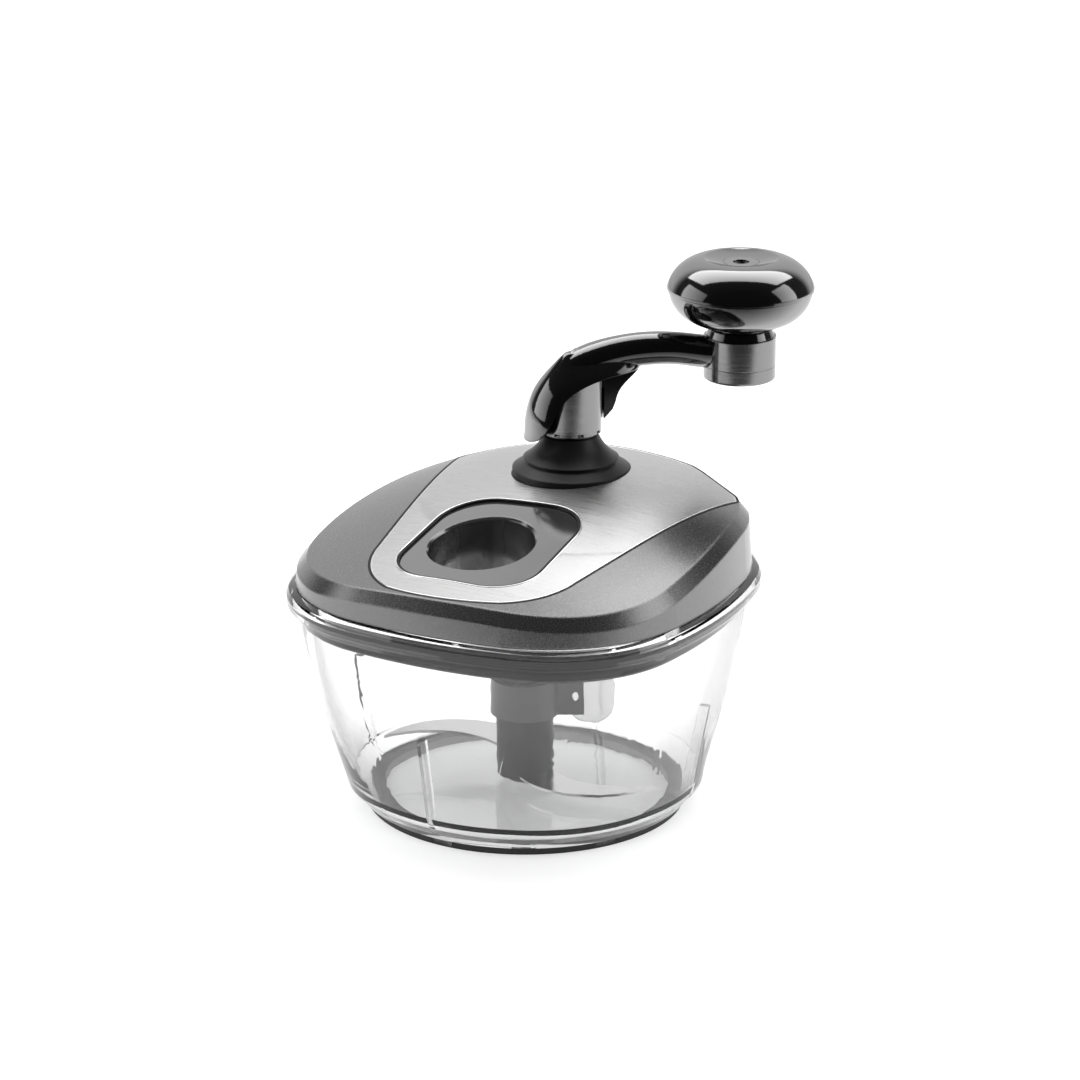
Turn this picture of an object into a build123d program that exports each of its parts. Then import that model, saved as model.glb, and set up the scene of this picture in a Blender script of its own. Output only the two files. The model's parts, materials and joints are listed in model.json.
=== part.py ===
"""Hand cranked food chopper: clear bowl, lid with a geared crank, and a two-blade rotor.

Millimetres, +Z up. The origin is the centre of the foot's bottom face. -Y is the side with the
fill chute, +Y the side with the crank. Every sub-part is written to parts/NAME.step.
"""
from build123d import *
import os
from math import acos, atan2, cos, degrees, pi, radians, sin, sqrt, tan

# --- clearances ---------------------------------------------------------------------------------
seat_gap = 0.05        # between fixed pieces of one body
running_gap = 0.06     # radial, shaft in its bearing
moving_gap = 0.4       # between faces of different bodies
panel_gap = 0.4        # visible gap line around the steel panel

# --- bowl ---------------------------------------------------------------------------------------
rim_half = 88.0            # half width across the rim's flats
rim_side_radius = 203.4    # bulge of the rim's four sides
rim_corner_radius = 59.2
rim_top_z = 95.0
flange_bottom_z = 87.2
flange_widest_z = 88.3
flange_shoulder_z = 91.6
flange_crown_z = 93.8
flange_drop = 0.7          # inset of the flange's bottom edge
flange_crown_inset = 1.0
rim_top_inset = 3.6
neck_z = 82.0              # where the wall starts to flare into the rim
neck_inset = 5.0
flare_inset = 3.0
bowl_wall = 2.8
bowl_floor = 3.4
bowl_bottom_z = 3.6
# height, inset from the rim's widest line, then side and corner radius as ratios of the half width
bowl_stations = [
    (bowl_bottom_z, 21.5, 1.02, 0.98),
    (10.0, 16.2, 1.06, 0.94),
    (32.0, 12.8, 1.70, 0.80),
    (53.5, 9.0, 2.10, 0.71),
]
mouth_inset = 6.5          # inside the rim, where the lid's skirt goes
mouth_ledge_z = 84.0
rib_angles = (8.0, 90.0, 185.0, 265.0)
rib_width = 2.4
rib_depth = 3.6
rib_top_z = 48.0
boss_radius = 7.0
boss_top_z = 9.8
spindle_radius = 3.0
spindle_foot_z = 4.6
spindle_top_z = 26.0

# --- foot ring ----------------------------------------------------------------------------------
foot_inset = 23.7          # foot's edge inside the rim's widest line
foot_radius = rim_half - foot_inset
foot_width = 7.0
tab_count = 6
tab_first_angle = -93.0
tab_width = 9.0
tab_depth = 1.8
tab_bottom_z = 0.9
tab_root = 1.0             # how far a tab reaches into the bowl's base
tab_rise = 0.3

# --- lid ----------------------------------------------------------------------------------------
lid_seam = 0.25            # gap line between lid and rim
lid_inset = 3.0            # lid wall inside the rim's widest line
lid_corner_extra = 5.0     # the lid's corners are this much rounder than the rim's
lid_draft = radians(4)     # the lid's wall leans in towards the top
lid_wall = 3.0
lid_top_wall = 3.0
lid_chamfer = 4.1
# the crown's cross-sections: y, then its height at the left side, the middle and the right side
crown_stations = [
    (-rim_half, 94.2, 107.8, 97.3),
    (-30.0, 104.4, 117.8, 108.1),
    (40.0, 108.4, 127.2, 116.9),
    (rim_half, 102.5, 123.7, 102.8),
]
# the crown's flat facet at the rear right: two ends of its crease, then a point low on the corner
facet_rear, facet_side, facet_low = (34.4, 77.9, 123.2), (71.9, 50.0, 119.8), (68.9, 63.1, 109.2)
panel_thickness = 0.8
panel_rear_inset = 9.6
panel_facet_gap = 0.8      # strip of the shell between the panel and the facet's crease
panel_left_rear, panel_left_mid, panel_left_front = (-68.0, 88.0), (-52.0, 13.0), (-42.6, -42.0)
panel_left_corner, panel_front_left = (-36.6, -60.0), (-21.0, -74.8)
panel_front_mid, panel_front_right = (3.0, -77.8), (26.8, -72.4)
panel_right_corner, panel_right_front = (39.4, -60.8), (45.6, -46.0)
panel_right_mid, panel_right_rear = (55.5, -9.5), (80.0, 88.0)

skirt_inset = 8.6
skirt_wall = 2.2
skirt_depth = 14.4         # how far the skirt hangs below the rim's top
base_plate_thickness = 2.2
seal_inset = 7.0
seal_height = 3.2
seal_drop = 5.2            # from the base plate's underside to the seal's top

# --- fill chute ---------------------------------------------------------------------------------
chute_x, chute_y = -2.6, -31.8
chute_radius = 20.9
chute_lip = 0.9            # the tube's rim is bevelled by this much
chute_wall = 1.7
chute_bottom_z = 91.0
insert_width, insert_length = 60.5, 66.5
insert_x, insert_y = 0.0, -30.5
insert_corner_radius = 19.0
insert_drop = 1.0          # how far the insert lies below the panel's face
insert_thickness = 1.1

# --- gear train ---------------------------------------------------------------------------------
gear_module = 1.25
drive_teeth = 52
pinion_teeth = 12
pressure_angle = radians(25)
addendum = 0.8 * gear_module
dedendum = 1.05 * gear_module
backlash = 0.30
gear_bottom_z = 101.0
gear_thickness = 6.0
pinion_extra = 0.6         # the pinion's face overhangs the drive gear's by this much each way
root_step = 0.05           # least height of a tooth's flank below its involute
drive_hub_radius = 9.0
drive_hub_top_z = 109.8
crank_y = gear_module * (drive_teeth + pinion_teeth) / 2

# --- crank --------------------------------------------------------------------------------------
drive_shaft_radius = 5.0
boot_radius = 23.8
boot_seat_z = 123.4
boot_shoulder_z = 127.7
boot_ridge_radius, boot_ridge_z = 19.4, 131.8
boot_crease_inset, boot_crease_drop = 0.9, 0.9
boot_waist_radius, boot_waist_z = 13.2, 137.6
boot_neck_radius, boot_neck_z = 11.0, 141.6
boot_wall = 2.4
seat_boss_margin = 3.6
bush_radius = 8.0
bush_length = 11.5
bush_flange = 2.0
sleeve_radius = 12.3
sleeve_wall = 1.5
sleeve_foot_z = 143.0
sleeve_top_z = 168.0
sleeve_cover = 1.2         # of the arm over the sleeve's upper end
collar_foot_z = boot_neck_z + 0.5
shaft_top_z = 171.0
notch_count = 8
notch_width, notch_height = 2.6, 1.3

arm_angle = 40.22          # direction of the arm at rest, from +X
arm_length = 70.0          # crank axis to knob axis
# the arm: distance along it, height of its middle, half height, half width
arm_stations = [
    (-6.0, 168.0, 2.2, 2.6),
    (0.0, 169.4, 6.3, 6.6),
    (9.0, 172.2, 7.0, 7.4),
    (20.0, 174.4, 6.9, 6.9),
    (32.0, 175.2, 6.8, 6.7),
    (44.0, 174.4, 6.7, 6.6),
    (58.0, 172.3, 6.5, 6.5),
]
# the arm's hood over the sleeve: height, its reach behind the shaft and along the arm, half width
hood_stations = [
    (138.0, 20.2, 18.0, 17.6),
    (146.0, 18.9, 18.0, 17.4),
    (154.0, 17.6, 18.2, 16.6),
    (160.5, 15.1, 21.0, 14.9),
    (166.0, 11.4, 26.5, 12.6),
    (172.0, 6.2, 28.0, 7.6),
    (175.6, 1.8, 16.0, 3.6),
    (177.0, -1.0, 9.0, 1.2),
]
hood_wall = 2.8
hood_clearance = 1.0       # round the sleeve, inside the hood's far leg
hood_cavity_top_z = 160.5
hood_cut_depth = 1.5       # the near side is cut away in front of this offset
# edge of the cut on the hood's near side, then of its lower end: distance along the arm, height
hood_cut = [(-24.0, 140.2), (-18.4, 140.8), (-15.7, 142.5), (-14.0, 144.6), (-12.3, 148.3), (-9.2, 153.6),
            (-6.2, 158.4), (-0.8, 162.7), (10.0, 166.6), (28.0, 168.2), (36.0, 168.4)]
hood_foot = [(-60.0, 140.6), (-12.0, 140.6), (12.8, 146.7), (16.9, 151.1), (18.4, 155.0), (60.0, 155.0)]

barrel_radius = 14.7
barrel_wall = 2.0
barrel_bottom_z = 160.6
barrel_seam_z = 166.5
barrel_top_z = 178.4
barrel_ring_height = 3.1
barrel_ring_radius, barrel_ring_slope = 13.9, 1.2
hub_radius = 12.6
pin_radius = 4.0
pin_foot_z = 170.0
pin_head_radius = 6.0
pin_head_height = 2.0
pin_cover = 2.4            # from the dimple down to the pin's head

# --- knob ---------------------------------------------------------------------------------------
knob_radius = 29.8
knob_neck_radius = 12.2
knob_neck_height = 2.0
knob_lower_height = 13.8
knob_upper_height = 12.9
knob_step = 0.6            # the lower half is this much smaller than the upper
knob_belly = 3.6           # how far a point of the lower curve lies inside the radius
knob_belly_share = 0.42    # height of that point within the lower half
knob_shoulder_inset, knob_shoulder_drop = 4.3, 4.5
knob_edge_height = 1.2
knob_dish_radius = 12.6
knob_dish_lip = 2.4
knob_dish_depth = 1.7
knob_dish_fall = 0.7       # depth of the dish at its radius
knob_cap_margin = 4.0
knob_cap_height = 3.0
dimple_radius = 3.3
dimple_depth = 1.0

# --- output and rotor ---------------------------------------------------------------------------
output_shaft_radius = 5.0
output_journal_radius = 3.0
output_bush_radius = 7.5
output_bush_drop = 5.0     # bearing boss under the base plate
bearing_wall = 2.0
drive_bearing_wall = 4.0
hex_play = 1.0             # room under the spindle's end and under the column's top
hex_flats = 9.0
hex_clearance = 0.3
column_radius = 11.4
column_bottom_z = 10.2
column_top_z = 87.6
socket_depth = 9.0
lower_blade_z = 11.6
upper_blade_z = 21.0
upper_blade_angle = 196.0
blade_thickness = 1.2
blade_hub_radius = 8.5
blade_tip = (57.5, 3.0)
blade_edge_mid, blade_edge_root = (34.0, -20.5), (2.0, -10.5)
blade_back_mid, blade_back_root = (35.0, -7.5), (9.5, 3.0)
paddle_angle = 27.4
bracket_z, bracket_height = 36.4, 14.0
bracket_wall = 2.4
bracket_reach, bracket_width = 23.8, 10.0
paddle_reach, paddle_thickness = 36.5, 2.4
paddle_bottom_z, paddle_height = 32.0, 21.0
paddle_corner = 8.5
paddle_overlap = 7.0
rivet_radius = 1.6

# --- gear bridge and screws ---------------------------------------------------------------------
bridge_thickness = 2.4
bridge_bottom_z = 110.4
post_radius = 2.7
post_pad = 1.0             # of the bridge round each post
rear_post_inset = 11.3
side_post_x, side_post_y = 36.0, 11.0
screw_radius = 1.5
screw_head_radius = 2.9
screw_head_height = 1.8
bridge_screw_length = 9.0
lid_screw_length = 6.8
lid_screw_inset = 34.0     # from the rim's widest line to each lid screw's centre line
lid_boss_radius = 4.6

# --- derived ------------------------------------------------------------------------------------
lid_bottom_z = rim_top_z + lid_seam
plate_top_z = lid_bottom_z + base_plate_thickness
skirt_bottom_z = rim_top_z - skirt_depth
barrel_ring_z = barrel_top_z + barrel_ring_height
knob_neck_z = barrel_ring_z + moving_gap
knob_under_z = knob_neck_z + knob_neck_height
knob_parting_z = knob_under_z + knob_lower_height
knob_top_z = knob_parting_z + knob_upper_height
dish_z = knob_top_z - knob_dish_depth
pin_top_z = dish_z - dimple_depth - pin_cover
tall = 3 * rim_half        # longer than anything on the part


def ring(outer, inner, z0, z1, at=(0, 0)):
    """Tube, or a disc when the inner radius is 0."""
    body = Cylinder(outer, z1 - z0, align=(Align.CENTER, Align.CENTER, Align.MIN))
    if inner > 0:
        body -= Cylinder(inner, z1 - z0, align=(Align.CENTER, Align.CENTER, Align.MIN))
    return Pos(at[0], at[1], z0) * body


def prism(face, z0, z1):
    """Flat face drawn at z = 0, extruded between two heights."""
    return Pos(0, 0, z0) * extrude(face, amount=z1 - z0, dir=(0, 0, 1))


def rounded_square(half, side_radius, corner_radius, z=0.0):
    """Square with bulging sides: four side arcs and four corner arcs, tangent to each other."""
    side_c = side_radius - half
    reach = side_radius - corner_radius
    corner_c = (sqrt(2 * reach ** 2 - side_c ** 2) - side_c) / 2
    half_angle = atan2(corner_c, corner_c + side_c)

    def side(angle):
        return side_radius * cos(angle) - side_c, side_radius * sin(angle)

    def corner(angle):
        return corner_c + corner_radius * cos(angle), corner_c + corner_radius * sin(angle)

    arcs = []
    for quarter in range(4):
        turn = Rot(0, 0, 90 * quarter)
        arcs.append(turn * ThreePointArc(side(-half_angle), side(0), side(half_angle)))
        arcs.append(turn * ThreePointArc(side(half_angle), corner(pi / 4), corner(pi / 2 - half_angle)))
    return Pos(0, 0, z) * make_face(arcs)


def rim_outline(inset, z=0.0):
    """The rim's widest outline, moved inwards."""
    return rounded_square(rim_half - inset, rim_side_radius - inset, rim_corner_radius - inset, z)


def lid_outline(inset, z=0.0):
    corner_radius = rim_corner_radius + lid_corner_extra
    return rounded_square(rim_half - inset, rim_side_radius - inset, corner_radius - inset, z)


def lid_block(inset, top_z):
    """The lid's plan as a solid from the rim up, drawn in by the draft."""
    lean = tan(lid_draft) * (top_z - lid_bottom_z)
    return loft([lid_outline(inset, lid_bottom_z), lid_outline(inset + lean, top_z)], ruled=True)


def bowl_section(station, inset, lift=0.0):
    z, rim_inset, side_ratio, corner_ratio = station
    half = rim_half - rim_inset
    return rounded_square(half - inset, half * side_ratio - inset, half * corner_ratio - inset, z + lift)


def bowl_space(inset, floor_lift):
    """The bowl's body below the neck, moved inwards by a wall and upwards by a floor."""
    base, knee, *upper = bowl_stations
    low = [bowl_section(base, inset, floor_lift), bowl_section(knee, inset, floor_lift)]
    high = [low[-1]] + [bowl_section(s, inset) for s in upper] + [rim_outline(neck_inset + inset, neck_z)]
    return loft(low, ruled=True) + loft(high)


def stacked(sections):
    """Straight-sided body through a stack of (height, inset) rim outlines."""
    return loft([rim_outline(inset, z) for z, inset in sections], ruled=True)


def crown(drop=0.0):
    """Block under the lid's domed top; its underside is far below the lid."""
    sections = []
    w = rim_half
    for y, left, middle, right in crown_stations:
        edge = [
            Line((-w, y, 0), (w, y, 0)),
            Line((w, y, 0), (w, y, right - drop)),
            ThreePointArc((w, y, right - drop), (0, y, middle - drop), (-w, y, left - drop)),
            Line((-w, y, left - drop), (-w, y, 0)),
        ]
        sections.append(make_face(edge))
    return loft(sections)


def facet_block(drop=0.0):
    """What the rear right facet takes off the crown, lowered by the drop."""
    rear, side, low = Vector(*facet_rear), Vector(*facet_side), Vector(*facet_low)
    normal = (side - rear).cross(low - rear)
    if normal.Z < 0:
        normal = -normal
    plane = Plane(origin=rear - Vector(0, 0, drop), x_dir=side - rear, z_dir=normal)
    return plane * Box(tall, tall, tall, align=(Align.CENTER, Align.CENTER, Align.MIN))


def crown_top(drop):
    return crown(drop) - facet_block(drop)


def rounded_insert(margin=0.0):
    width, length = insert_width + 2 * margin, insert_length + 2 * margin
    return Pos(insert_x, insert_y) * RectangleRounded(width, length, insert_corner_radius + margin)


def panel_face(margin=0.0):
    """The steel panel's outline; the margin widens it for the recess that it lies in."""
    outline = make_face([
        ThreePointArc(panel_left_rear, panel_left_mid, panel_left_front),
        ThreePointArc(panel_left_front, panel_left_corner, panel_front_left),
        ThreePointArc(panel_front_left, panel_front_mid, panel_front_right),
        ThreePointArc(panel_front_right, panel_right_corner, panel_right_front),
        ThreePointArc(panel_right_front, panel_right_mid, panel_right_rear),
        Line(panel_right_rear, panel_left_rear),
    ])
    if margin:
        outline = offset(outline, amount=margin)
    (x0, y0, _), (x1, y1, _) = facet_rear, facet_side
    crease = Pos(x0, y0) * Rot(0, 0, degrees(atan2(y1 - y0, x1 - x0))) * Pos(0, margin - panel_facet_gap)
    beyond = crease * Rectangle(tall, tall, align=(Align.CENTER, Align.MIN))
    return (outline & lid_outline(panel_rear_inset - margin)) - beyond


def gear_face(teeth, phase):
    """Involute spur gear outline; a tooth is centred on +X turned by the phase in degrees."""
    pitch_r = gear_module * teeth / 2
    base_r = pitch_r * cos(pressure_angle)
    tip_r, root_r = pitch_r + addendum, pitch_r - dedendum

    def involute(angle):
        return tan(angle) - angle

    def half_width(radius):
        slope = acos(min(1.0, base_r / radius))
        return pi / (2 * teeth) - backlash / (4 * pitch_r) + involute(pressure_angle) - involute(slope)

    start_r = max(base_r, root_r + root_step)
    radii = [root_r, start_r, (start_r + pitch_r) / 2, pitch_r, (pitch_r + tip_r) / 2, tip_r]
    points = []
    for tooth in range(teeth):
        middle = 2 * pi * tooth / teeth + radians(phase)
        for r in radii:
            points.append((r * cos(middle - half_width(r)), r * sin(middle - half_width(r))))
        for r in reversed(radii):
            points.append((r * cos(middle + half_width(r)), r * sin(middle + half_width(r))))
    return make_face(Polyline(*points, close=True))


def screw(x, y, head_z, length, up=True):
    """Pan-head screw; its head's inner face is at head_z and the shank points up or down."""
    sign = 1 if up else -1
    low, high = sorted((head_z, head_z + sign * length))
    head_low, head_high = sorted((head_z, head_z - sign * screw_head_height))
    shank = ring(screw_radius - seat_gap, 0, low, high, (x, y))
    return shank + ring(screw_head_radius, 0, head_low, head_high, (x, y))


def lid_screw_places():
    reach = rim_half - lid_screw_inset
    return [(sx * reach, sy * reach) for sx in (-1, 1) for sy in (-1, 1)]


def bridge_post_places():
    return [(-side_post_x, side_post_y), (side_post_x, side_post_y), (0.0, rim_half - rear_post_inset)]


# --- bowl pieces --------------------------------------------------------------------------------
def make_bowl():
    neck = (neck_z, neck_inset)
    flare = (flange_bottom_z, flare_inset)
    rim = [neck, flare]
    flange = [(flange_bottom_z, flange_drop), (flange_widest_z, 0.0), (flange_shoulder_z, 0.0),
              (flange_crown_z, flange_crown_inset), (rim_top_z, rim_top_inset)]
    outer = bowl_space(0.0, 0.0) + stacked(rim) + stacked(flange)
    cavity = bowl_space(bowl_wall, bowl_floor)
    throat = (neck_z, neck_inset + bowl_wall)
    mouth = stacked([throat, (mouth_ledge_z, mouth_inset), (rim_top_z, mouth_inset)])
    bowl = outer - cavity - mouth
    band = bowl_space(bowl_wall / 2, bowl_floor / 2) - bowl_space(bowl_wall + rib_depth, 0.0)
    slab = Box(2 * rim_half, rib_width, rib_top_z, align=(Align.MIN, Align.CENTER, Align.MIN))
    for angle in rib_angles:
        bowl += (Rot(0, 0, angle) * slab) & band
    bowl += ring(boss_radius, 0, bowl_bottom_z + bowl_floor / 2, boss_top_z)
    bowl -= ring(spindle_radius + seat_gap, 0, spindle_foot_z, boss_top_z + bowl_floor)
    for tab in foot_tabs(0.0):
        bowl += tab
    return bowl


def foot_tabs(margin):
    """Small lugs at the bowl's base that sit in notches of the foot ring."""
    tabs = []
    top_z = bowl_bottom_z + (tab_rise if margin == 0 else 0)
    for k in range(tab_count):
        block = Box(tab_depth + margin + tab_root, tab_width + 2 * margin, top_z - tab_bottom_z + margin,
                    align=(Align.MIN, Align.CENTER, Align.MAX))
        block = Pos(foot_radius - tab_depth - margin, 0, top_z) * block
        if margin == 0:
            block &= ring(foot_radius + tab_rise, 0, 0, top_z)
        tabs.append(Rot(0, 0, tab_first_angle + 360 / tab_count * k) * block)
    return tabs


def make_foot_ring():
    foot = ring(foot_radius, foot_radius - foot_width, 0, bowl_bottom_z)
    for notch in foot_tabs(seat_gap):
        foot -= notch
    return foot


def make_bowl_spindle():
    pin = ring(spindle_radius, 0, spindle_foot_z, spindle_top_z)
    return chamfer(pin.edges().group_by(Axis.Z)[-1], spindle_radius / 4)


# --- lid pieces ---------------------------------------------------------------------------------
def seat_cylinder(radius, z0, z1=tall):
    return ring(radius, 0, z0, z1, (0, crank_y))


def make_lid_shell(tops):
    body = lid_block(lid_inset, tall) & crown()
    top_face = body.faces().sort_by(Axis.Z)[-1]
    body = chamfer(top_face.edges(), lid_chamfer) - facet_block()
    shell = body - (lid_block(lid_inset + lid_wall, tall) & tops[lid_top_wall])
    boss_floor = boot_seat_z - lid_top_wall
    bosses = seat_cylinder(boot_radius + seat_boss_margin, boss_floor)
    for x, y in lid_screw_places():
        bosses += ring(lid_boss_radius, 0, plate_top_z, tall, (x, y))
    shell += bosses & tops[lid_top_wall / 2]
    shell -= prism(panel_face(panel_gap), lid_bottom_z, tall) - tops[panel_thickness]
    shell -= prism(rounded_insert(seat_gap), lid_bottom_z, tall) - tops[insert_drop + insert_thickness]
    shell -= ring(chute_radius + chute_wall + seat_gap, 0, lid_bottom_z, tall, (chute_x, chute_y))
    shell -= seat_cylinder(boot_radius + moving_gap, boot_seat_z)
    shell -= seat_cylinder(bush_radius + seat_gap, lid_bottom_z)
    for x, y in lid_screw_places():
        shell -= ring(screw_radius, 0, plate_top_z, lid_bottom_z + lid_screw_length + moving_gap, (x, y))
    return shell


def make_steel_panel(tops):
    panel = (prism(panel_face(), lid_bottom_z, tall) & tops[0]) - tops[panel_thickness - seat_gap]
    panel -= prism(rounded_insert(panel_gap), lid_bottom_z, tall)
    return panel - seat_cylinder(boot_radius + moving_gap, lid_bottom_z)


def make_fill_insert(tops):
    low = insert_drop + insert_thickness
    flange = (prism(rounded_insert(), lid_bottom_z, tall) & tops[insert_drop]) - tops[low - seat_gap]
    tube = ring(chute_radius + chute_wall, 0, chute_bottom_z, tall, (chute_x, chute_y)) & tops[insert_drop]
    insert = flange + tube - ring(chute_radius, 0, 0, tall, (chute_x, chute_y))
    rim_edges = []
    for edge in insert.edges():
        start = edge.position_at(0)
        from_axis = (start - Vector(chute_x, chute_y, start.Z)).length
        if start.Z > plate_top_z and abs(from_axis - chute_radius) < seat_gap:
            rim_edges.append(edge)
    return chamfer(rim_edges, chute_lip)


def make_lid_base():
    plate = lid_block(lid_inset + lid_wall + seat_gap, plate_top_z)
    skirt = prism(rim_outline(skirt_inset), skirt_bottom_z, lid_bottom_z)
    skirt -= prism(rim_outline(skirt_inset + skirt_wall), skirt_bottom_z, lid_bottom_z)
    base = plate + skirt
    bearing_z = lid_bottom_z - output_bush_drop
    base += ring(output_bush_radius + bearing_wall, 0, bearing_z, lid_bottom_z)
    drive_bearing_radius = drive_shaft_radius + drive_bearing_wall
    base += ring(drive_bearing_radius, 0, bearing_z, gear_bottom_z - moving_gap, (0, crank_y))
    for x, y in bridge_post_places():
        base += ring(post_radius, 0, plate_top_z, bridge_bottom_z, (x, y))
        base -= ring(screw_radius, 0, bridge_bottom_z - bridge_screw_length, bridge_bottom_z, (x, y))
    base -= ring(output_bush_radius + seat_gap, 0, bearing_z, plate_top_z)
    base -= ring(drive_shaft_radius + running_gap, 0, (bearing_z + lid_bottom_z) / 2, tall, (0, crank_y))
    base -= ring(chute_radius + chute_wall + seat_gap, 0, 0, tall, (chute_x, chute_y))
    for x, y in lid_screw_places():
        base -= ring(screw_radius + seat_gap, 0, lid_bottom_z, plate_top_z, (x, y))
    return base


def make_lid_seal():
    top_z = lid_bottom_z - seal_drop
    seal = prism(rim_outline(seal_inset), top_z - seal_height, top_z)
    return seal - prism(rim_outline(skirt_inset - seat_gap), top_z - seal_height, top_z)


def make_crank_boot():
    """Cone with a stepped foot, hollow, with a hole for the shaft."""
    def outline(wall, floor_z):
        shoulder = (boot_radius - wall, boot_shoulder_z - wall / 2)
        crease = (boot_ridge_radius - boot_crease_inset - wall, boot_ridge_z - boot_crease_drop - wall / 2)
        ridge = (boot_ridge_radius - wall, boot_ridge_z - wall / 2)
        waist = (boot_waist_radius - wall, boot_waist_z - wall / 2)
        neck = (boot_neck_radius - wall, boot_neck_z - wall)
        return make_face([
            Line((0, floor_z), (boot_radius - wall, floor_z)),
            Line((boot_radius - wall, floor_z), shoulder),
            Line(shoulder, crease),
            Line(crease, ridge),
            ThreePointArc(ridge, waist, neck),
            Line(neck, (0, neck[1])),
            Line((0, neck[1]), (0, floor_z)),
        ])
    boot = revolve(Plane.XZ * outline(0, boot_seat_z), Axis.Z)
    boot -= revolve(Plane.XZ * outline(boot_wall, 0), Axis.Z)
    boot -= ring(drive_shaft_radius + moving_gap, 0, 0, tall)
    return Pos(0, crank_y, 0) * boot


def make_crank_bush():
    bore = drive_shaft_radius + running_gap
    top_z = boot_seat_z + bush_flange
    body = ring(bush_radius, bore, top_z - bush_length, top_z, (0, crank_y))
    return body + ring(bush_radius + bush_flange, bore, boot_seat_z, top_z, (0, crank_y))


def make_output_bush():
    bore = output_shaft_radius + running_gap
    return ring(output_bush_radius, bore, lid_bottom_z - output_bush_drop, plate_top_z)


def make_gear_bridge():
    """Plate over the gears that carries the upper ends of both shafts."""
    top_z = bridge_bottom_z + bridge_thickness
    places = bridge_post_places()
    face = make_face(Polyline(*places, close=True))
    for x, y in places + [(0.0, 0.0), (0.0, crank_y)]:
        face += Pos(x, y) * Circle(post_radius + post_pad if (x, y) in places else output_bush_radius)
    face += Pos(0, side_post_y / 2) * Rectangle(2 * output_bush_radius, side_post_y)
    plate = prism(face, bridge_bottom_z, top_z)
    plate -= ring(output_journal_radius + running_gap, 0, 0, tall)
    plate -= ring(drive_shaft_radius + running_gap, 0, 0, tall, (0, crank_y))
    for x, y in places:
        plate -= ring(screw_radius + seat_gap, 0, 0, tall, (x, y))
    return plate


def make_bridge_screws():
    head_z = bridge_bottom_z + bridge_thickness
    screws = [screw(x, y, head_z, bridge_screw_length, up=False) for x, y in bridge_post_places()]
    return Compound(children=screws)


def make_lid_screws():
    return Compound(children=[screw(x, y, lid_bottom_z, lid_screw_length) for x, y in lid_screw_places()])


# --- crank pieces -------------------------------------------------------------------------------
arm_direction = Vector(cos(radians(arm_angle)), sin(radians(arm_angle)), 0)
knob_x = arm_direction.X * arm_length
knob_y = crank_y + arm_direction.Y * arm_length
near_side = arm_direction.cross(Vector(0, 0, 1))
arm_plane = Plane(origin=(0, crank_y, 0), x_dir=arm_direction, z_dir=near_side)


def arm_bar(margin=0.0):
    """Rounded bar through the arm's stations; the margin swells it."""
    sections = []
    for along, middle_z, half_height, half_width in arm_stations:
        place = Plane(origin=arm_plane.from_local_coords((along, middle_z, 0)),
                      x_dir=near_side, z_dir=arm_direction)
        sections.append(place * Ellipse(half_width + margin, half_height + margin))
    return loft(sections)


def hood_block(inset=0.0, top_z=None):
    """The hood as a solid: ellipses stacked round the shaft, up to a height."""
    sections = []
    for z, back, front, half_width in hood_stations:
        if top_z is None or z <= top_z:
            middle = arm_direction * ((front - back) / 2) + Vector(0, crank_y, z)
            place = Plane(origin=middle, x_dir=arm_direction, z_dir=(0, 0, 1))
            sections.append(place * Ellipse((back + front) / 2 - inset, half_width - inset))
    return loft(sections)


def sleeve_space(margin=0.0):
    """Where the sleeve is, under the arm's cover."""
    tube = seat_cylinder(sleeve_radius + margin, sleeve_foot_z, sleeve_top_z)
    return tube & hood_block(sleeve_cover - margin)


def make_crank_arm():
    near = 2 * boot_radius
    low_z = hood_stations[0][0]
    (left, left_z), (right, right_z) = hood_cut[0], hood_cut[-1]
    below = [(right, right_z), (right, low_z - near), (left, low_z - near), (left, left_z)]
    window = make_face([Spline(*hood_cut)] + Polyline(*below).edges())
    foot = make_face(Polyline(*hood_foot, (hood_foot[-1][0], 0), (hood_foot[0][0], 0), close=True))
    cavity = hood_block(hood_wall, hood_cavity_top_z)
    cavity -= arm_plane * Box(near, 2 * tall, near, align=(Align.MIN, Align.CENTER, Align.CENTER))
    cavity += seat_cylinder(sleeve_radius + hood_clearance, low_z, hood_cavity_top_z)
    hood = hood_block() - cavity
    hood -= extrude(arm_plane * Pos(0, 0, hood_cut_depth) * window, amount=near, dir=near_side)
    hood -= extrude(arm_plane * foot, amount=near, both=True)
    arm = hood + arm_bar()
    arm += ring(hub_radius, 0, barrel_seam_z, barrel_top_z, (knob_x, knob_y))
    arm -= sleeve_space(seat_gap)
    collar = seat_cylinder(sleeve_radius - sleeve_wall - seat_gap, collar_foot_z, sleeve_top_z)
    arm += collar & hood_block(sleeve_cover)
    arm -= seat_cylinder(drive_shaft_radius + seat_gap, 0, shaft_top_z + seat_gap)
    arm -= ring(pin_radius + seat_gap, 0, pin_foot_z, tall, (knob_x, knob_y))
    return arm


def make_drive_shaft():
    return seat_cylinder(drive_shaft_radius, plate_top_z, shaft_top_z)


def make_shaft_sleeve():
    bore = sleeve_radius - sleeve_wall
    sleeve = sleeve_space() - seat_cylinder(bore, 0)
    notch = Box(2 * sleeve_wall, notch_width, notch_height, align=(Align.MIN, Align.CENTER, Align.MIN))
    notch = Pos(bore - sleeve_wall / 2, 0, sleeve_foot_z) * notch
    for k in range(notch_count):
        sleeve -= Pos(0, crank_y, 0) * Rot(0, 0, 360 / notch_count * k) * notch
    return sleeve


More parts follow.
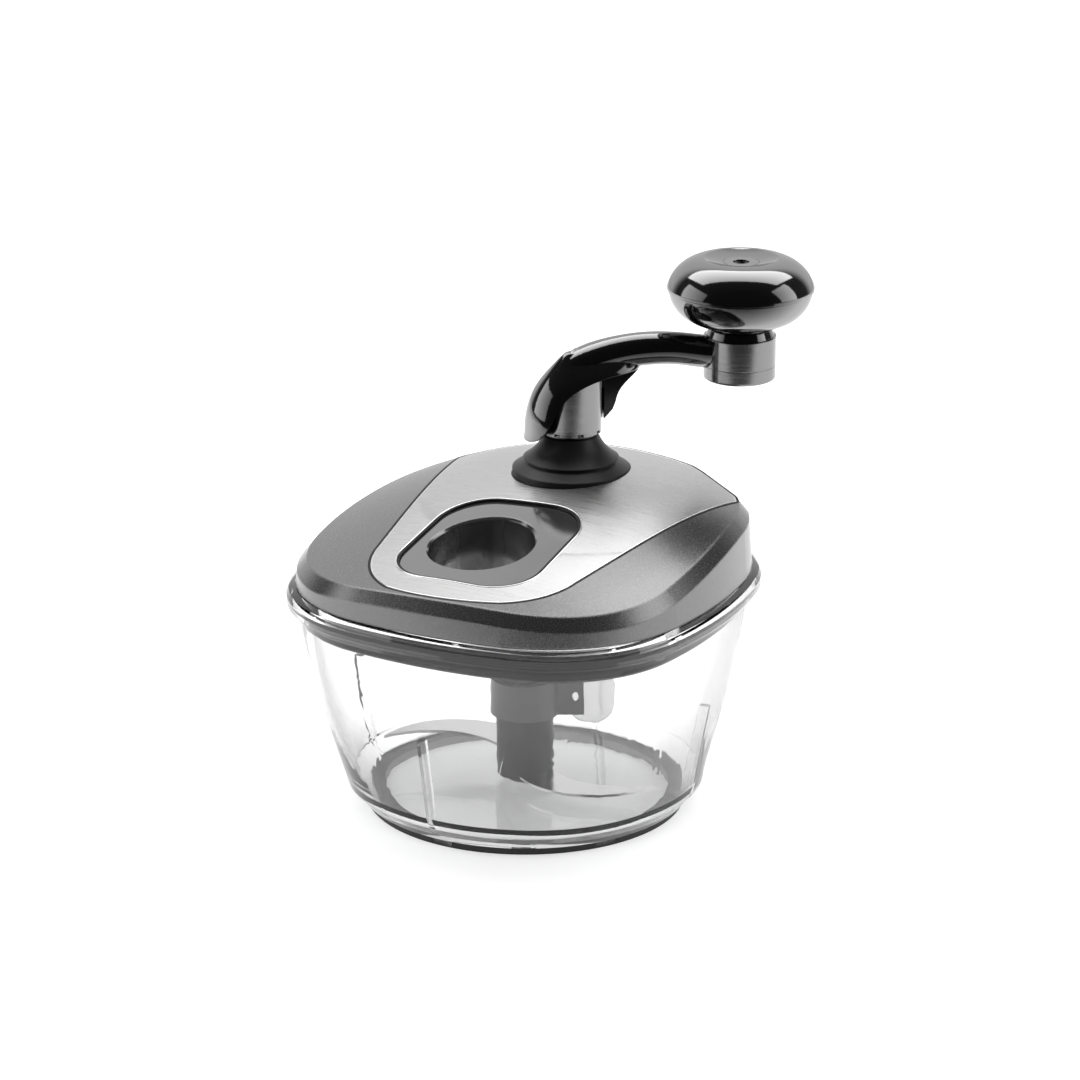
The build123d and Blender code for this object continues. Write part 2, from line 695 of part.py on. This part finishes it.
def make_drive_gear():
    teeth = prism(gear_face(drive_teeth, 180 / drive_teeth), gear_bottom_z, gear_bottom_z + gear_thickness)
    gear = teeth + ring(drive_hub_radius, 0, gear_bottom_z, drive_hub_top_z)
    return Pos(0, crank_y, 0) * (gear - ring(drive_shaft_radius + seat_gap, 0, 0, tall))


def make_barrel():
    at = (knob_x, knob_y)
    tube = ring(barrel_radius, hub_radius + seat_gap, barrel_seam_z + seat_gap, barrel_top_z, at)
    return tube - arm_bar(seat_gap)


def make_barrel_cap():
    at = (knob_x, knob_y)
    cap = ring(barrel_radius, 0, barrel_bottom_z, barrel_seam_z, at)
    return fillet(cap.edges().group_by(Axis.Z)[0], barrel_wall / 2) - arm_bar(seat_gap)


def make_barrel_ring():
    at = (knob_x, knob_y)
    foot_z = barrel_top_z + seat_gap
    low = Plane.XY.offset(foot_z) * Circle(barrel_ring_radius)
    high = Plane.XY.offset(barrel_ring_z) * Circle(barrel_ring_radius - barrel_ring_slope)
    cone = Pos(*at, 0) * loft([low, high], ruled=True)
    return cone - ring(pin_radius + seat_gap, 0, 0, tall, at) - arm_bar(seat_gap)


def make_knob_pin():
    at = (knob_x, knob_y)
    pin = ring(pin_radius, 0, pin_foot_z + seat_gap, pin_top_z, at)
    return pin + ring(pin_head_radius, 0, pin_top_z - pin_head_height, pin_top_z, at)


# --- knob pieces --------------------------------------------------------------------------------
def knob_bore():
    """Room for the pin and its head inside the knob."""
    bore = ring(pin_radius + running_gap, 0, 0, tall)
    return bore + ring(pin_head_radius + moving_gap, 0, pin_top_z - pin_head_height - moving_gap, tall)


def make_knob_lower():
    lower_radius = knob_radius - knob_step
    neck, under = (knob_neck_radius, knob_neck_z), (knob_neck_radius, knob_under_z)
    edge, parting = (lower_radius, knob_parting_z - knob_step), (lower_radius, knob_parting_z)
    belly = (knob_radius - knob_belly, knob_under_z + knob_lower_height * knob_belly_share)
    face = make_face([
        Line((0, knob_neck_z), neck),
        Line(neck, under),
        ThreePointArc(under, belly, edge),
        Line(edge, parting),
        Line(parting, (0, knob_parting_z)),
        Line((0, knob_parting_z), (0, knob_neck_z)),
    ])
    return Pos(knob_x, knob_y, 0) * (revolve(Plane.XZ * face, Axis.Z) - knob_bore())


def make_knob_upper():
    cap_radius = dimple_radius + knob_cap_margin
    lip_radius = knob_dish_radius + knob_dish_lip
    edge, corner = (knob_radius, knob_parting_z), (knob_radius, knob_parting_z + knob_edge_height)
    shoulder = (knob_radius - knob_shoulder_inset, knob_top_z - knob_shoulder_drop)
    lip, dish = (lip_radius, knob_top_z), (cap_radius, dish_z)
    face = make_face([
        Line((cap_radius, knob_parting_z), edge),
        Line(edge, corner),
        ThreePointArc(corner, shoulder, lip),
        ThreePointArc(lip, (knob_dish_radius, knob_top_z - knob_dish_fall), dish),
        Line(dish, (cap_radius, knob_parting_z)),
    ])
    return Pos(knob_x, knob_y, 0) * revolve(Plane.XZ * face, Axis.Z)


def make_knob_cap():
    """Small disc in the middle of the knob's dish, with a dimple, over the pin's head."""
    cap = ring(dimple_radius + knob_cap_margin - seat_gap, 0, dish_z - knob_cap_height, dish_z)
    cap -= ring(dimple_radius, 0, dish_z - dimple_depth, dish_z)
    return Pos(knob_x, knob_y, 0) * cap


# --- output and rotor pieces --------------------------------------------------------------------
def make_output_spindle():
    hex_foot_z = column_top_z - socket_depth + hex_play
    shaft_z = lid_bottom_z - output_bush_drop
    spindle = prism(RegularPolygon(hex_flats / 2, 6, major_radius=False), hex_foot_z, shaft_z)
    spindle += ring(output_shaft_radius, 0, shaft_z, plate_top_z + seat_gap)
    spindle += ring(output_journal_radius, 0, plate_top_z, bridge_bottom_z + bridge_thickness)
    return spindle


def make_output_pinion():
    low, high = gear_bottom_z - pinion_extra, gear_bottom_z + gear_thickness + pinion_extra
    pinion = prism(gear_face(pinion_teeth, 90), low, high)
    pinion += ring(output_shaft_radius, 0, plate_top_z + moving_gap, low)
    return pinion - ring(output_journal_radius + seat_gap, 0, 0, tall)


def blade_plan():
    plan = make_face([
        ThreePointArc(blade_edge_root, blade_edge_mid, blade_tip),
        ThreePointArc(blade_tip, blade_back_mid, blade_back_root),
        Line(blade_back_root, blade_edge_root),
    ])
    return plan + Circle(blade_hub_radius) - Circle(spindle_radius + running_gap + hex_play)


def make_lower_blade():
    return prism(blade_plan(), lower_blade_z, lower_blade_z + blade_thickness)


def make_upper_blade():
    blade = prism(blade_plan(), upper_blade_z, upper_blade_z + blade_thickness)
    return Rot(0, 0, upper_blade_angle) * blade


def make_blade_column():
    column = ring(column_radius, 0, column_bottom_z, column_top_z)
    column -= ring(spindle_radius + running_gap, 0, column_bottom_z, spindle_top_z + hex_play)
    socket = RegularPolygon(hex_flats / 2 + hex_clearance, 6, major_radius=False)
    column -= prism(socket, column_top_z - socket_depth, column_top_z)
    return column - make_lower_blade() - make_upper_blade()


def make_paddle_bracket():
    """Clip on the column that carries the paddle."""
    top_z = bracket_z + bracket_height
    clip = ring(column_radius + bracket_wall, column_radius + seat_gap, bracket_z, top_z)
    arm_from = column_radius + bracket_wall / 2
    align = (Align.MIN, Align.CENTER, Align.MIN)
    arm = Box(bracket_reach - arm_from, bracket_width, bracket_height, align=align)
    clip += Pos(arm_from, 0, bracket_z) * arm
    slot_width = paddle_thickness + 2 * seat_gap
    slot = Box(paddle_overlap, slot_width, bracket_height, align=(Align.MAX, Align.CENTER, Align.MIN))
    clip -= Pos(bracket_reach, 0, bracket_z) * slot
    clip -= paddle_rivet(seat_gap)
    return Rot(0, 0, paddle_angle) * clip


def paddle_rivet(margin=0.0):
    rivet_x = bracket_reach - paddle_overlap / 2
    rod = Cylinder(rivet_radius + margin, bracket_width + 2 * margin)
    return Pos(rivet_x, 0, bracket_z + bracket_height / 2) * Rot(90, 0, 0) * rod


def make_paddle():
    low_x = bracket_reach - paddle_overlap + seat_gap
    width = paddle_reach - low_x
    plan = RectangleRounded(width, paddle_height, min(paddle_corner, width / 2.1))
    plate = extrude(plan, amount=paddle_thickness / 2, both=True)
    plate = Pos(low_x + width / 2, 0, paddle_bottom_z + paddle_height / 2) * Rot(90, 0, 0) * plate
    return Rot(0, 0, paddle_angle) * (plate - paddle_rivet(seat_gap))


def make_paddle_rivet():
    return Rot(0, 0, paddle_angle) * paddle_rivet()


crown_tops = {drop: crown_top(drop) for drop in (
    0, insert_drop, lid_top_wall, lid_top_wall / 2, panel_thickness, panel_thickness - seat_gap,
    insert_drop + insert_thickness, insert_drop + insert_thickness - seat_gap)}

pieces = {
    "bowl": make_bowl(),
    "foot_ring": make_foot_ring(),
    "bowl_spindle": make_bowl_spindle(),
    "lid_shell": make_lid_shell(crown_tops),
    "steel_panel": make_steel_panel(crown_tops),
    "fill_insert": make_fill_insert(crown_tops),
    "lid_base": make_lid_base(),
    "lid_seal": make_lid_seal(),
    "crank_boot": make_crank_boot(),
    "crank_bush": make_crank_bush(),
    "output_bush": make_output_bush(),
    "gear_bridge": make_gear_bridge(),
    "bridge_screws": make_bridge_screws(),
    "lid_screws": make_lid_screws(),
    "crank_arm": make_crank_arm(),
    "drive_shaft": make_drive_shaft(),
    "shaft_sleeve": make_shaft_sleeve(),
    "drive_gear": make_drive_gear(),
    "barrel": make_barrel(),
    "barrel_cap": make_barrel_cap(),
    "barrel_ring": make_barrel_ring(),
    "knob_pin": make_knob_pin(),
    "knob_lower": make_knob_lower(),
    "knob_upper": make_knob_upper(),
    "knob_cap": make_knob_cap(),
    "output_spindle": make_output_spindle(),
    "output_pinion": make_output_pinion(),
    "blade_column": make_blade_column(),
    "lower_blade": make_lower_blade(),
    "upper_blade": make_upper_blade(),
    "paddle_bracket": make_paddle_bracket(),
    "paddle": make_paddle(),
    "paddle_rivet": make_paddle_rivet(),
}

os.makedirs("parts", exist_ok=True)
for name, piece in pieces.items():
    export_step(piece, f"parts/{name}.step")
    box = piece.bounding_box()
    print(f"{name:16s} volume {piece.volume:10.0f}  z {box.min.Z:6.1f} to {box.max.Z:6.1f}")
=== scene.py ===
"""Looks of the crank food chopper: materials, the trim round the steel panel, and the studio.

Metres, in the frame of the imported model: +Z up, -Y towards the fill chute, +Y towards the crank.
"""
import json
import math

import bmesh
import bpy
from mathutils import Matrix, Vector


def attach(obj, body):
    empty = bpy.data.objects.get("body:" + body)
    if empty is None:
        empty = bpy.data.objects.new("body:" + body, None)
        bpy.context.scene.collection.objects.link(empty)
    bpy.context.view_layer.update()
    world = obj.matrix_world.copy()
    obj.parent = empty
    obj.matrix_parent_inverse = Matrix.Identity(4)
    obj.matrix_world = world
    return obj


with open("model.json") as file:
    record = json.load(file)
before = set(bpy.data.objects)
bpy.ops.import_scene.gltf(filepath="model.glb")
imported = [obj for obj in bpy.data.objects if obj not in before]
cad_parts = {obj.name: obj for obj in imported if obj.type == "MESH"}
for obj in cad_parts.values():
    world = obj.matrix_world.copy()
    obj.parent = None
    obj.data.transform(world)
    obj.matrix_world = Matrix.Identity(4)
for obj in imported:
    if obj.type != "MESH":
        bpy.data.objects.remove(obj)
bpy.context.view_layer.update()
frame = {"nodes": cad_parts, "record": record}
nodes = frame["nodes"]

# --- studio -------------------------------------------------------------------------------------
CAMERA_PLACE = (0.7151, -1.3686, 0.6372)
CAMERA_HEADING, CAMERA_PITCH = 27.37, 18.91     # degrees
CAMERA_LENS, SENSOR_WIDTH = 136.8, 36.0         # mm
CAMERA_CLIP = (0.01, 50)
AMBIENT = 0.42                                  # world's light on the object
ROOM = 0.04                                     # the dark room, as gloss and glass show it
SWEEP_TILT = 37.0                               # degrees; the white sweep rises behind the object
SWEEP_FROM, SWEEP_TO = 0.10, 0.34               # sines of the angles where it fades into the room
SWEEP_SIDE, SWEEP_BACK = 0.50, 0.80             # cosines of the angles where it ends sideways
FLOOR_COLOUR, FLOOR_GLOW = 0.8, 0.45
FLOOR_FRONT, FLOOR_SIZE = 0.42, 12.0            # from the object to the floor's front edge, its width
LAMP_AIM = (0, 0, 0.12)
LAMPS = (                                       # name, place, size, power in watts
    ("left_softbox", (-1.5, -0.9, 0.75), (1.5, 1.2), 10),
    ("right_softbox", (1.5, 0.5, 0.9), (0.9, 1.2), 8),
    ("top_softbox", (-0.22, 0.48, 1.5), (2.6, 1.1), 31),
)

# --- surfaces -----------------------------------------------------------------------------------
NOISE_DETAIL = 4
NOISE_LOW, NOISE_HIGH = 0.3, 0.7                # where most of the noise lies
CLEAR_IOR = 1.5
CLEAR_EDGE_SHADE = (0.35, 0.92)                       # facing weights between which clear plastic greys, as painted shade on its edges
CLEAR_SHADOW = (0.93, 0.94, 0.94, 1)            # light that its shadow lets through
FLAKE_STEPS = (0.35, 0.68)                      # noise between dull ground and bright flakes
FLAKE_DULL, FLAKE_BRIGHT = 0.88, 1.2            # shares of the paint's level
FLAKE_METALLIC, FLAKE_SOFTEN = 0.95, 0.0012
GLOSS_FROM, GLOSS_TO = 0.06, 0.5                # facing weights between which gloss grows

# --- trim round the steel panel -----------------------------------------------------------------
UPWARD = 0.5                                    # least z of an upper face's normal
MERGE_DISTANCE = 1e-6
TINY = 1e-9
SHORTEST_LOOP = 20                              # points; shorter loops are no edge of the panel
TRIM_STEP = 0.002
# black strip in the gap round the steel panel: painted shade in the gap
GAP_SHADE_WIDTH = 0.0010
GAP_SHADE_OFFSET = 0.00005                            # from the panel's edge
GAP_SHADE_BOTTOM, GAP_SHADE_TOP = -0.0006, -0.00008   # from the panel's upper edge
LIP_RADIUS = 0.00042
LIP_SINK = 0.55                                 # share of the radius by which the lip sits lower


# --- materials ----------------------------------------------------------------------------------
def new_material(name, **settings):
    """Principled material; returns it with its node tree and shader."""
    material = bpy.data.materials.new(name)
    material.use_nodes = True
    tree = material.node_tree
    shader = tree.nodes["Principled BSDF"]
    for key, value in settings.items():
        shader.inputs[key.replace("_", " ")].default_value = value
    return material, tree, shader


def grey(level):
    return (level, level, level, 1.0)


def map_range(tree, source, low, high, to_low, to_high, smooth=False):
    """The source's range from low to high, spread over another one."""
    node = tree.nodes.new("ShaderNodeMapRange")
    if smooth:
        node.interpolation_type = "SMOOTHSTEP"
    ends = {"From Min": low, "From Max": high, "To Min": to_low, "To Max": to_high}
    for name, value in ends.items():
        node.inputs[name].default_value = value
    tree.links.new(source, node.inputs["Value"])
    return node.outputs["Result"]


def colour_ramp(tree, source, places, levels):
    """Grey that goes from one level to another between two places of the source."""
    node = tree.nodes.new("ShaderNodeValToRGB")
    for element, place, level in zip(node.color_ramp.elements, places, levels):
        element.position, element.color = place, grey(level)
    tree.links.new(source, node.inputs["Fac"])
    return node.outputs["Color"]


def facing_weight(tree):
    """0 where a surface faces the eye, towards 1 at grazing angles."""
    return tree.nodes.new("ShaderNodeLayerWeight").outputs["Facing"]


def add_noise_bump(tree, shader, scale, strength, distance, stretch=(1, 1, 1), soften=0.0):
    """Fine surface relief; the stretch draws the noise out along an axis, soften rounds the edges."""
    coords = tree.nodes.new("ShaderNodeTexCoord")
    mapping = tree.nodes.new("ShaderNodeMapping")
    mapping.inputs["Scale"].default_value = stretch
    noise = tree.nodes.new("ShaderNodeTexNoise")
    noise.inputs["Scale"].default_value = scale
    noise.inputs["Detail"].default_value = NOISE_DETAIL
    bump = tree.nodes.new("ShaderNodeBump")
    bump.inputs["Strength"].default_value = strength
    bump.inputs["Distance"].default_value = distance
    tree.links.new(coords.outputs["Object"], mapping.inputs["Vector"])
    tree.links.new(mapping.outputs["Vector"], noise.inputs["Vector"])
    tree.links.new(noise.outputs["Fac"], bump.inputs["Height"])
    tree.links.new(bump.outputs["Normal"], shader.inputs["Normal"])
    if soften:
        bevel = tree.nodes.new("ShaderNodeBevel")
        bevel.inputs["Radius"].default_value = soften
        tree.links.new(bevel.outputs["Normal"], bump.inputs["Normal"])
    return noise.outputs["Fac"]


def vary_roughness(tree, shader, noise, low, high):
    varied = map_range(tree, noise, NOISE_LOW, NOISE_HIGH, low, high)
    tree.links.new(varied, shader.inputs["Roughness"])


def clear_plastic(name, roughness, facing, grazing, transmission):
    """Clear plastic that greys towards its edges, where one looks through more of it; the grey is
    painted shade for its dark edges.
    """
    material, tree, shader = new_material(name, IOR=CLEAR_IOR, Transmission_Weight=transmission)
    noise = add_noise_bump(tree, shader, scale=40, strength=0.02, distance=0.0003)
    vary_roughness(tree, shader, noise, roughness * 0.8, roughness * 1.2)
    # painted shade: the colour darkens towards grazing angles
    colour = colour_ramp(tree, facing_weight(tree), CLEAR_EDGE_SHADE, (facing, grazing))
    tree.links.new(colour, shader.inputs["Base Color"])
    output = tree.nodes["Material Output"]
    light = tree.nodes.new("ShaderNodeLightPath")
    clear = tree.nodes.new("ShaderNodeBsdfTransparent")
    clear.inputs["Color"].default_value = CLEAR_SHADOW
    mix = tree.nodes.new("ShaderNodeMixShader")
    tree.links.new(light.outputs["Is Shadow Ray"], mix.inputs["Fac"])
    tree.links.new(shader.outputs["BSDF"], mix.inputs[1])
    tree.links.new(clear.outputs["BSDF"], mix.inputs[2])
    tree.links.new(mix.outputs["Shader"], output.inputs["Surface"])
    return material


def brushed_steel(name, level, stretch, roughness, axis, anisotropy=0.0, soften=0.0):
    """Brushed along one direction; the highlight is drawn out along the tangent."""
    material, tree, shader = new_material(
        name, Base_Color=grey(level), Metallic=1.0, Anisotropic=anisotropy)
    noise = add_noise_bump(tree, shader, scale=2600, strength=0.05, distance=0.0001,
                           stretch=stretch, soften=soften)
    vary_roughness(tree, shader, noise, *roughness)
    tangent = tree.nodes.new("ShaderNodeTangent")
    tangent.direction_type, tangent.axis = "RADIAL", axis
    tree.links.new(tangent.outputs["Tangent"], shader.inputs["Tangent"])
    return material


def moulded(name, level, roughness, grain=0.1, soften=0.0, **settings):
    """Plain moulded plastic or rubber with a fine grain."""
    material, tree, shader = new_material(name, Base_Color=grey(level), **settings)
    noise = add_noise_bump(tree, shader, scale=2500, strength=grain, distance=0.0001, soften=soften)
    vary_roughness(tree, shader, noise, roughness * 0.9, roughness * 1.1)
    return material


def flake_paint(name, level, roughness):
    """Satin grey with fine bright flakes."""
    material, tree, shader = new_material(name, Metallic=FLAKE_METALLIC)
    noise = add_noise_bump(tree, shader, scale=3200, strength=0.10, distance=0.0001,
                           soften=FLAKE_SOFTEN)
    vary_roughness(tree, shader, noise, roughness * 0.85, roughness * 1.15)
    colour = colour_ramp(tree, noise, FLAKE_STEPS, (level * FLAKE_DULL, level * FLAKE_BRIGHT))
    tree.links.new(colour, shader.inputs["Base Color"])
    return material


def gloss_black(name, level, roughness, facing, grazing, soften=0.0):
    """Polished black plastic, more mirror-like towards grazing angles."""
    material, tree, shader = new_material(name, Base_Color=grey(level))
    noise = add_noise_bump(tree, shader, scale=60, strength=0.02, distance=0.0005, soften=soften)
    vary_roughness(tree, shader, noise, roughness * 0.85, roughness * 1.15)
    gloss = map_range(tree, facing_weight(tree), GLOSS_FROM, GLOSS_TO, facing, grazing)
    tree.links.new(gloss, shader.inputs["Specular IOR Level"])
    return material


MATERIALS = {name: make(name, **values) for name, make, values in (
    # the grazing colours of the clear plastics are painted shade on their edges
    ("clear_plastic", clear_plastic,
     dict(roughness=0.02, facing=0.95, grazing=0.15, transmission=1.0)),
    ("paddle_plastic", clear_plastic,
     dict(roughness=0.15, facing=0.92, grazing=0.75, transmission=0.65)),
    ("foot_rubber", moulded, dict(level=0.012, roughness=0.5, grain=0.25)),
    ("steel", brushed_steel,
     dict(level=0.22, stretch=(0.02, 0.02, 1), roughness=(0.13, 0.19), axis="Z", soften=0.0004)),
    ("polished_steel", brushed_steel,
     dict(level=0.72, stretch=(1, 0.05, 0.05), roughness=(0.12, 0.2), axis="Z")),
    ("panel_steel", brushed_steel,
     dict(level=0.46, stretch=(0.02, 1, 0.2), roughness=(0.25, 0.34), axis="X", anisotropy=0.7)),
    ("lid_plastic", flake_paint, dict(level=0.18, roughness=0.25)),
    ("gloss_black", gloss_black,
     dict(level=0.004, roughness=0.07, facing=0.15, grazing=3.2, soften=0.0006)),
    ("insert_plastic", gloss_black,
     dict(level=0.030, roughness=0.12, facing=0.6, grazing=2.8, soften=0.0005)),
    ("base_plastic", moulded, dict(level=0.004, roughness=0.35, Specular_IOR_Level=0.25)),
    ("boot_plastic", moulded,
     dict(level=0.008, roughness=0.42, grain=0.15, soften=0.0010, Specular_IOR_Level=0.3)),
    ("seal_rubber", moulded, dict(level=0.015, roughness=0.5, grain=0.2)),
    ("bush_plastic", moulded, dict(level=0.7, roughness=0.4)),
    ("gear_plastic", moulded, dict(level=0.75, roughness=0.35)),
    ("column_plastic", moulded,
     dict(level=0.015, roughness=0.35, grain=0.15, Specular_IOR_Level=0.3)),
    ("bracket_plastic", moulded, dict(level=0.07, roughness=0.35, grain=0.15)),
    ("fastener_steel", brushed_steel,
     dict(level=0.6, stretch=(1, 1, 0.1), roughness=(0.25, 0.4), axis="Z")),
    # near-black strip in the gap round the steel panel: painted shade
    ("gasket", moulded, dict(level=0.006, roughness=0.5, grain=0.2, Specular_IOR_Level=0.2)),
)}


def dress_nodes():
    for entry in frame["record"]["subparts"]:
        node = nodes[entry["node"]]
        node.data.materials.clear()
        node.data.materials.append(MATERIALS[entry["material_slot"]])


# --- trim ---------------------------------------------------------------------------------------
def top_loops(node):
    """Closed outlines of a node's upper faces, each as a list of points in order."""
    mesh = bmesh.new()
    mesh.from_mesh(node.data)
    bmesh.ops.remove_doubles(mesh, verts=mesh.verts, dist=MERGE_DISTANCE)
    mesh.normal_update()
    links = {}
    for edge in mesh.edges:
        up = [face.normal.z > UPWARD for face in edge.link_faces]
        if len(up) == 2 and up[0] != up[1]:
            a, b = edge.verts
            links.setdefault(a.index, []).append(b.index)
            links.setdefault(b.index, []).append(a.index)
    mesh.verts.ensure_lookup_table()
    places = {index: mesh.verts[index].co.copy() for index in links}
    mesh.free()
    loops, seen = [], set()
    for start in sorted(links):
        if start in seen:
            continue
        loop, here = [], start
        while here is not None:
            loop.append(places[here])
            seen.add(here)
            here = next((index for index in links[here] if index not in seen), None)
        loops.append(loop)
    return loops


def evenly(points, step, fewest=8):
    """The same closed line with its points a step apart."""
    closed = points + [points[0]]
    lengths = [(b - a).length for a, b in zip(closed, closed[1:])]
    count = max(fewest, round(sum(lengths) / step))
    out, index, passed = [], 0, 0.0
    for k in range(count):
        along = sum(lengths) * k / count
        while index < len(lengths) - 1 and passed + lengths[index] < along:
            passed += lengths[index]
            index += 1
        share = (along - passed) / max(lengths[index], TINY)
        out.append(closed[index].lerp(closed[index + 1], min(share, 1.0)))
    return out


def sweep(name, loop, profile, material, body):
    """Closed strip along a loop; each point of the profile is an outward and an upward offset."""
    area = sum(a.x * b.y - b.x * a.y for a, b in zip(loop, loop[1:] + loop[:1]))
    outward = 1 if area > 0 else -1
    mesh = bmesh.new()
    rings = []
    for index, point in enumerate(loop):
        ahead = loop[(index + 1) % len(loop)] - loop[index - 1]
        side = Vector((ahead.y, -ahead.x, 0)).normalized() * outward
        rings.append([mesh.verts.new(point + side * across + Vector((0, 0, up)))
                      for across, up in profile])
    for ring, following in zip(rings, rings[1:] + rings[:1]):
        for k in range(len(profile)):
            j = (k + 1) % len(profile)
            mesh.faces.new((ring[k], ring[j], following[j], following[k]))
    bmesh.ops.recalc_face_normals(mesh, faces=mesh.faces)
    data = bpy.data.meshes.new(name)
    mesh.to_mesh(data)
    mesh.free()
    for polygon in data.polygons:
        polygon.use_smooth = True
    data.materials.append(material)
    piece = bpy.data.objects.new(name, data)
    bpy.context.scene.collection.objects.link(piece)
    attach(piece, body)


def circle_profile(radius, across, up, count=8):
    angles = [2 * math.pi * k / count for k in range(count)]
    return [(across + radius * math.cos(a), up + radius * math.sin(a)) for a in angles]


def trim_panel():
    """Black strip in the gap round the steel panel, painted shade for the gap, and the panel's
    rounded bright edge.
    """
    loops = [loop for loop in top_loops(nodes["steel_panel"]) if len(loop) > SHORTEST_LOOP]
    loops.sort(key=lambda points: -max(point.x for point in points))
    for k, loop in enumerate(loops):
        line = evenly(loop, TRIM_STEP)
        sign = 1 if k == 0 else -1                  # the first loop is the outer edge
        near, far = sign * GAP_SHADE_OFFSET, sign * (GAP_SHADE_OFFSET + GAP_SHADE_WIDTH)
        inner, outer = min(near, far), max(near, far)
        profile = [(inner, GAP_SHADE_BOTTOM), (outer, GAP_SHADE_BOTTOM),
                   (outer, GAP_SHADE_TOP), (inner, GAP_SHADE_TOP)]
        # the black strip in the gap is painted shade
        sweep(f"gasket_{k}", line, profile, MATERIALS["gasket"], "lid")
        if min(point.y for point in loop) > 0:      # round the boot's hole no lip shows
            continue
        lip = circle_profile(LIP_RADIUS, -sign * LIP_RADIUS, -LIP_RADIUS * LIP_SINK)
        sweep(f"panel_lip_{k}", line, lip, MATERIALS["polished_steel"], "lid")


# --- stage --------------------------------------------------------------------------------------
def make_camera():
    data = bpy.data.cameras.new("camera")
    data.lens, data.sensor_width = CAMERA_LENS, SENSOR_WIDTH
    data.clip_start, data.clip_end = CAMERA_CLIP
    camera = bpy.data.objects.new("camera", data)
    camera.location = CAMERA_PLACE
    camera.rotation_euler = (math.radians(90 - CAMERA_PITCH), 0, math.radians(CAMERA_HEADING))
    bpy.context.scene.collection.objects.link(camera)
    bpy.context.scene.camera = camera


def make_floor():
    """Pale floor; its own glow shows only to the camera and in reflections, so shadows stay."""
    bpy.ops.mesh.primitive_plane_add(size=FLOOR_SIZE)
    floor = bpy.context.object
    floor.name = "floor"
    heading = math.radians(CAMERA_HEADING)
    floor.rotation_euler = (0, 0, heading)
    behind = FLOOR_SIZE / 2 - FLOOR_FRONT
    floor.location = (-math.sin(heading) * behind, math.cos(heading) * behind, 0)
    material = bpy.data.materials.new("floor")
    material.use_nodes = True
    tree = material.node_tree
    tree.nodes.clear()
    output = tree.nodes.new("ShaderNodeOutputMaterial")
    diffuse = tree.nodes.new("ShaderNodeBsdfDiffuse")
    diffuse.inputs["Color"].default_value = grey(FLOOR_COLOUR)
    glow = tree.nodes.new("ShaderNodeEmission")
    add = tree.nodes.new("ShaderNodeAddShader")
    dimmed = tree.nodes.new("ShaderNodeMath")
    dimmed.operation = "MULTIPLY"
    dimmed.inputs[1].default_value = FLOOR_GLOW
    tree.links.new(seen_by_eye(tree), dimmed.inputs[0])
    tree.links.new(dimmed.outputs[0], glow.inputs["Strength"])
    tree.links.new(diffuse.outputs["BSDF"], add.inputs[0])
    tree.links.new(glow.outputs["Emission"], add.inputs[1])
    tree.links.new(add.outputs["Shader"], output.inputs["Surface"])
    floor.data.materials.append(material)


def combine(tree, operation, first, second):
    node = tree.nodes.new("ShaderNodeMath")
    node.operation = operation
    tree.links.new(first, node.inputs[0])
    tree.links.new(second, node.inputs[1])
    return node.outputs[0]


def seen_by_eye(tree):
    """1 for camera, glossy and transmission rays, 0 for the light that falls on things."""
    path = tree.nodes.new("ShaderNodeLightPath")
    total = path.outputs["Is Camera Ray"]
    for name in ("Is Glossy Ray", "Is Transmission Ray"):
        total = combine(tree, "MAXIMUM", total, path.outputs[name])
    return total


def ray_towards(tree, direction):
    """Cosine of the angle between a ray and a direction."""
    coords = tree.nodes.new("ShaderNodeTexCoord")
    node = tree.nodes.new("ShaderNodeVectorMath")
    node.operation = "DOT_PRODUCT"
    node.inputs[1].default_value = direction
    tree.links.new(coords.outputs["Generated"], node.inputs[0])
    return node.outputs["Value"]


def make_world():
    """White sweep behind the object in a dark room; matt surfaces get an even light from it."""
    world = bpy.data.worlds.new("studio")
    bpy.context.scene.world = world
    world.use_nodes = True
    tree = world.node_tree
    background = tree.nodes["Background"]
    background.inputs["Color"].default_value = grey(1.0)
    heading, tilt = math.radians(CAMERA_HEADING), math.radians(SWEEP_TILT)
    rise = ray_towards(tree, (
        math.sin(tilt) * math.sin(heading), -math.sin(tilt) * math.cos(heading), math.cos(tilt)))
    back = ray_towards(tree, (-math.sin(heading), math.cos(heading), 0))
    upper = map_range(tree, rise, SWEEP_FROM, SWEEP_TO, 1.0, ROOM, smooth=True)
    sides = map_range(tree, back, SWEEP_SIDE, SWEEP_BACK, ROOM, 1.0, smooth=True)
    white = combine(tree, "MINIMUM", upper, sides)
    path = tree.nodes.new("ShaderNodeLightPath")
    shown = combine(tree, "MAXIMUM", white, path.outputs["Is Camera Ray"])
    mix = tree.nodes.new("ShaderNodeMix")
    mix.inputs[2].default_value = AMBIENT
    tree.links.new(seen_by_eye(tree), mix.inputs[0])
    tree.links.new(shown, mix.inputs[3])
    tree.links.new(mix.outputs[0], background.inputs["Strength"])


def make_lights():
    for name, place, size, power in LAMPS:
        data = bpy.data.lights.new(name, "AREA")
        data.shape = "RECTANGLE"
        data.size, data.size_y = size
        data.energy = power
        lamp = bpy.data.objects.new(name, data)
        lamp.location = place
        aim = Vector(LAMP_AIM) - Vector(place)
        lamp.rotation_euler = aim.to_track_quat("-Z", "Y").to_euler()
        bpy.context.scene.collection.objects.link(lamp)


dress_nodes()
trim_panel()
make_floor()
make_world()
make_lights()
make_camera()
bpy.context.scene.view_settings.view_transform = "Standard"
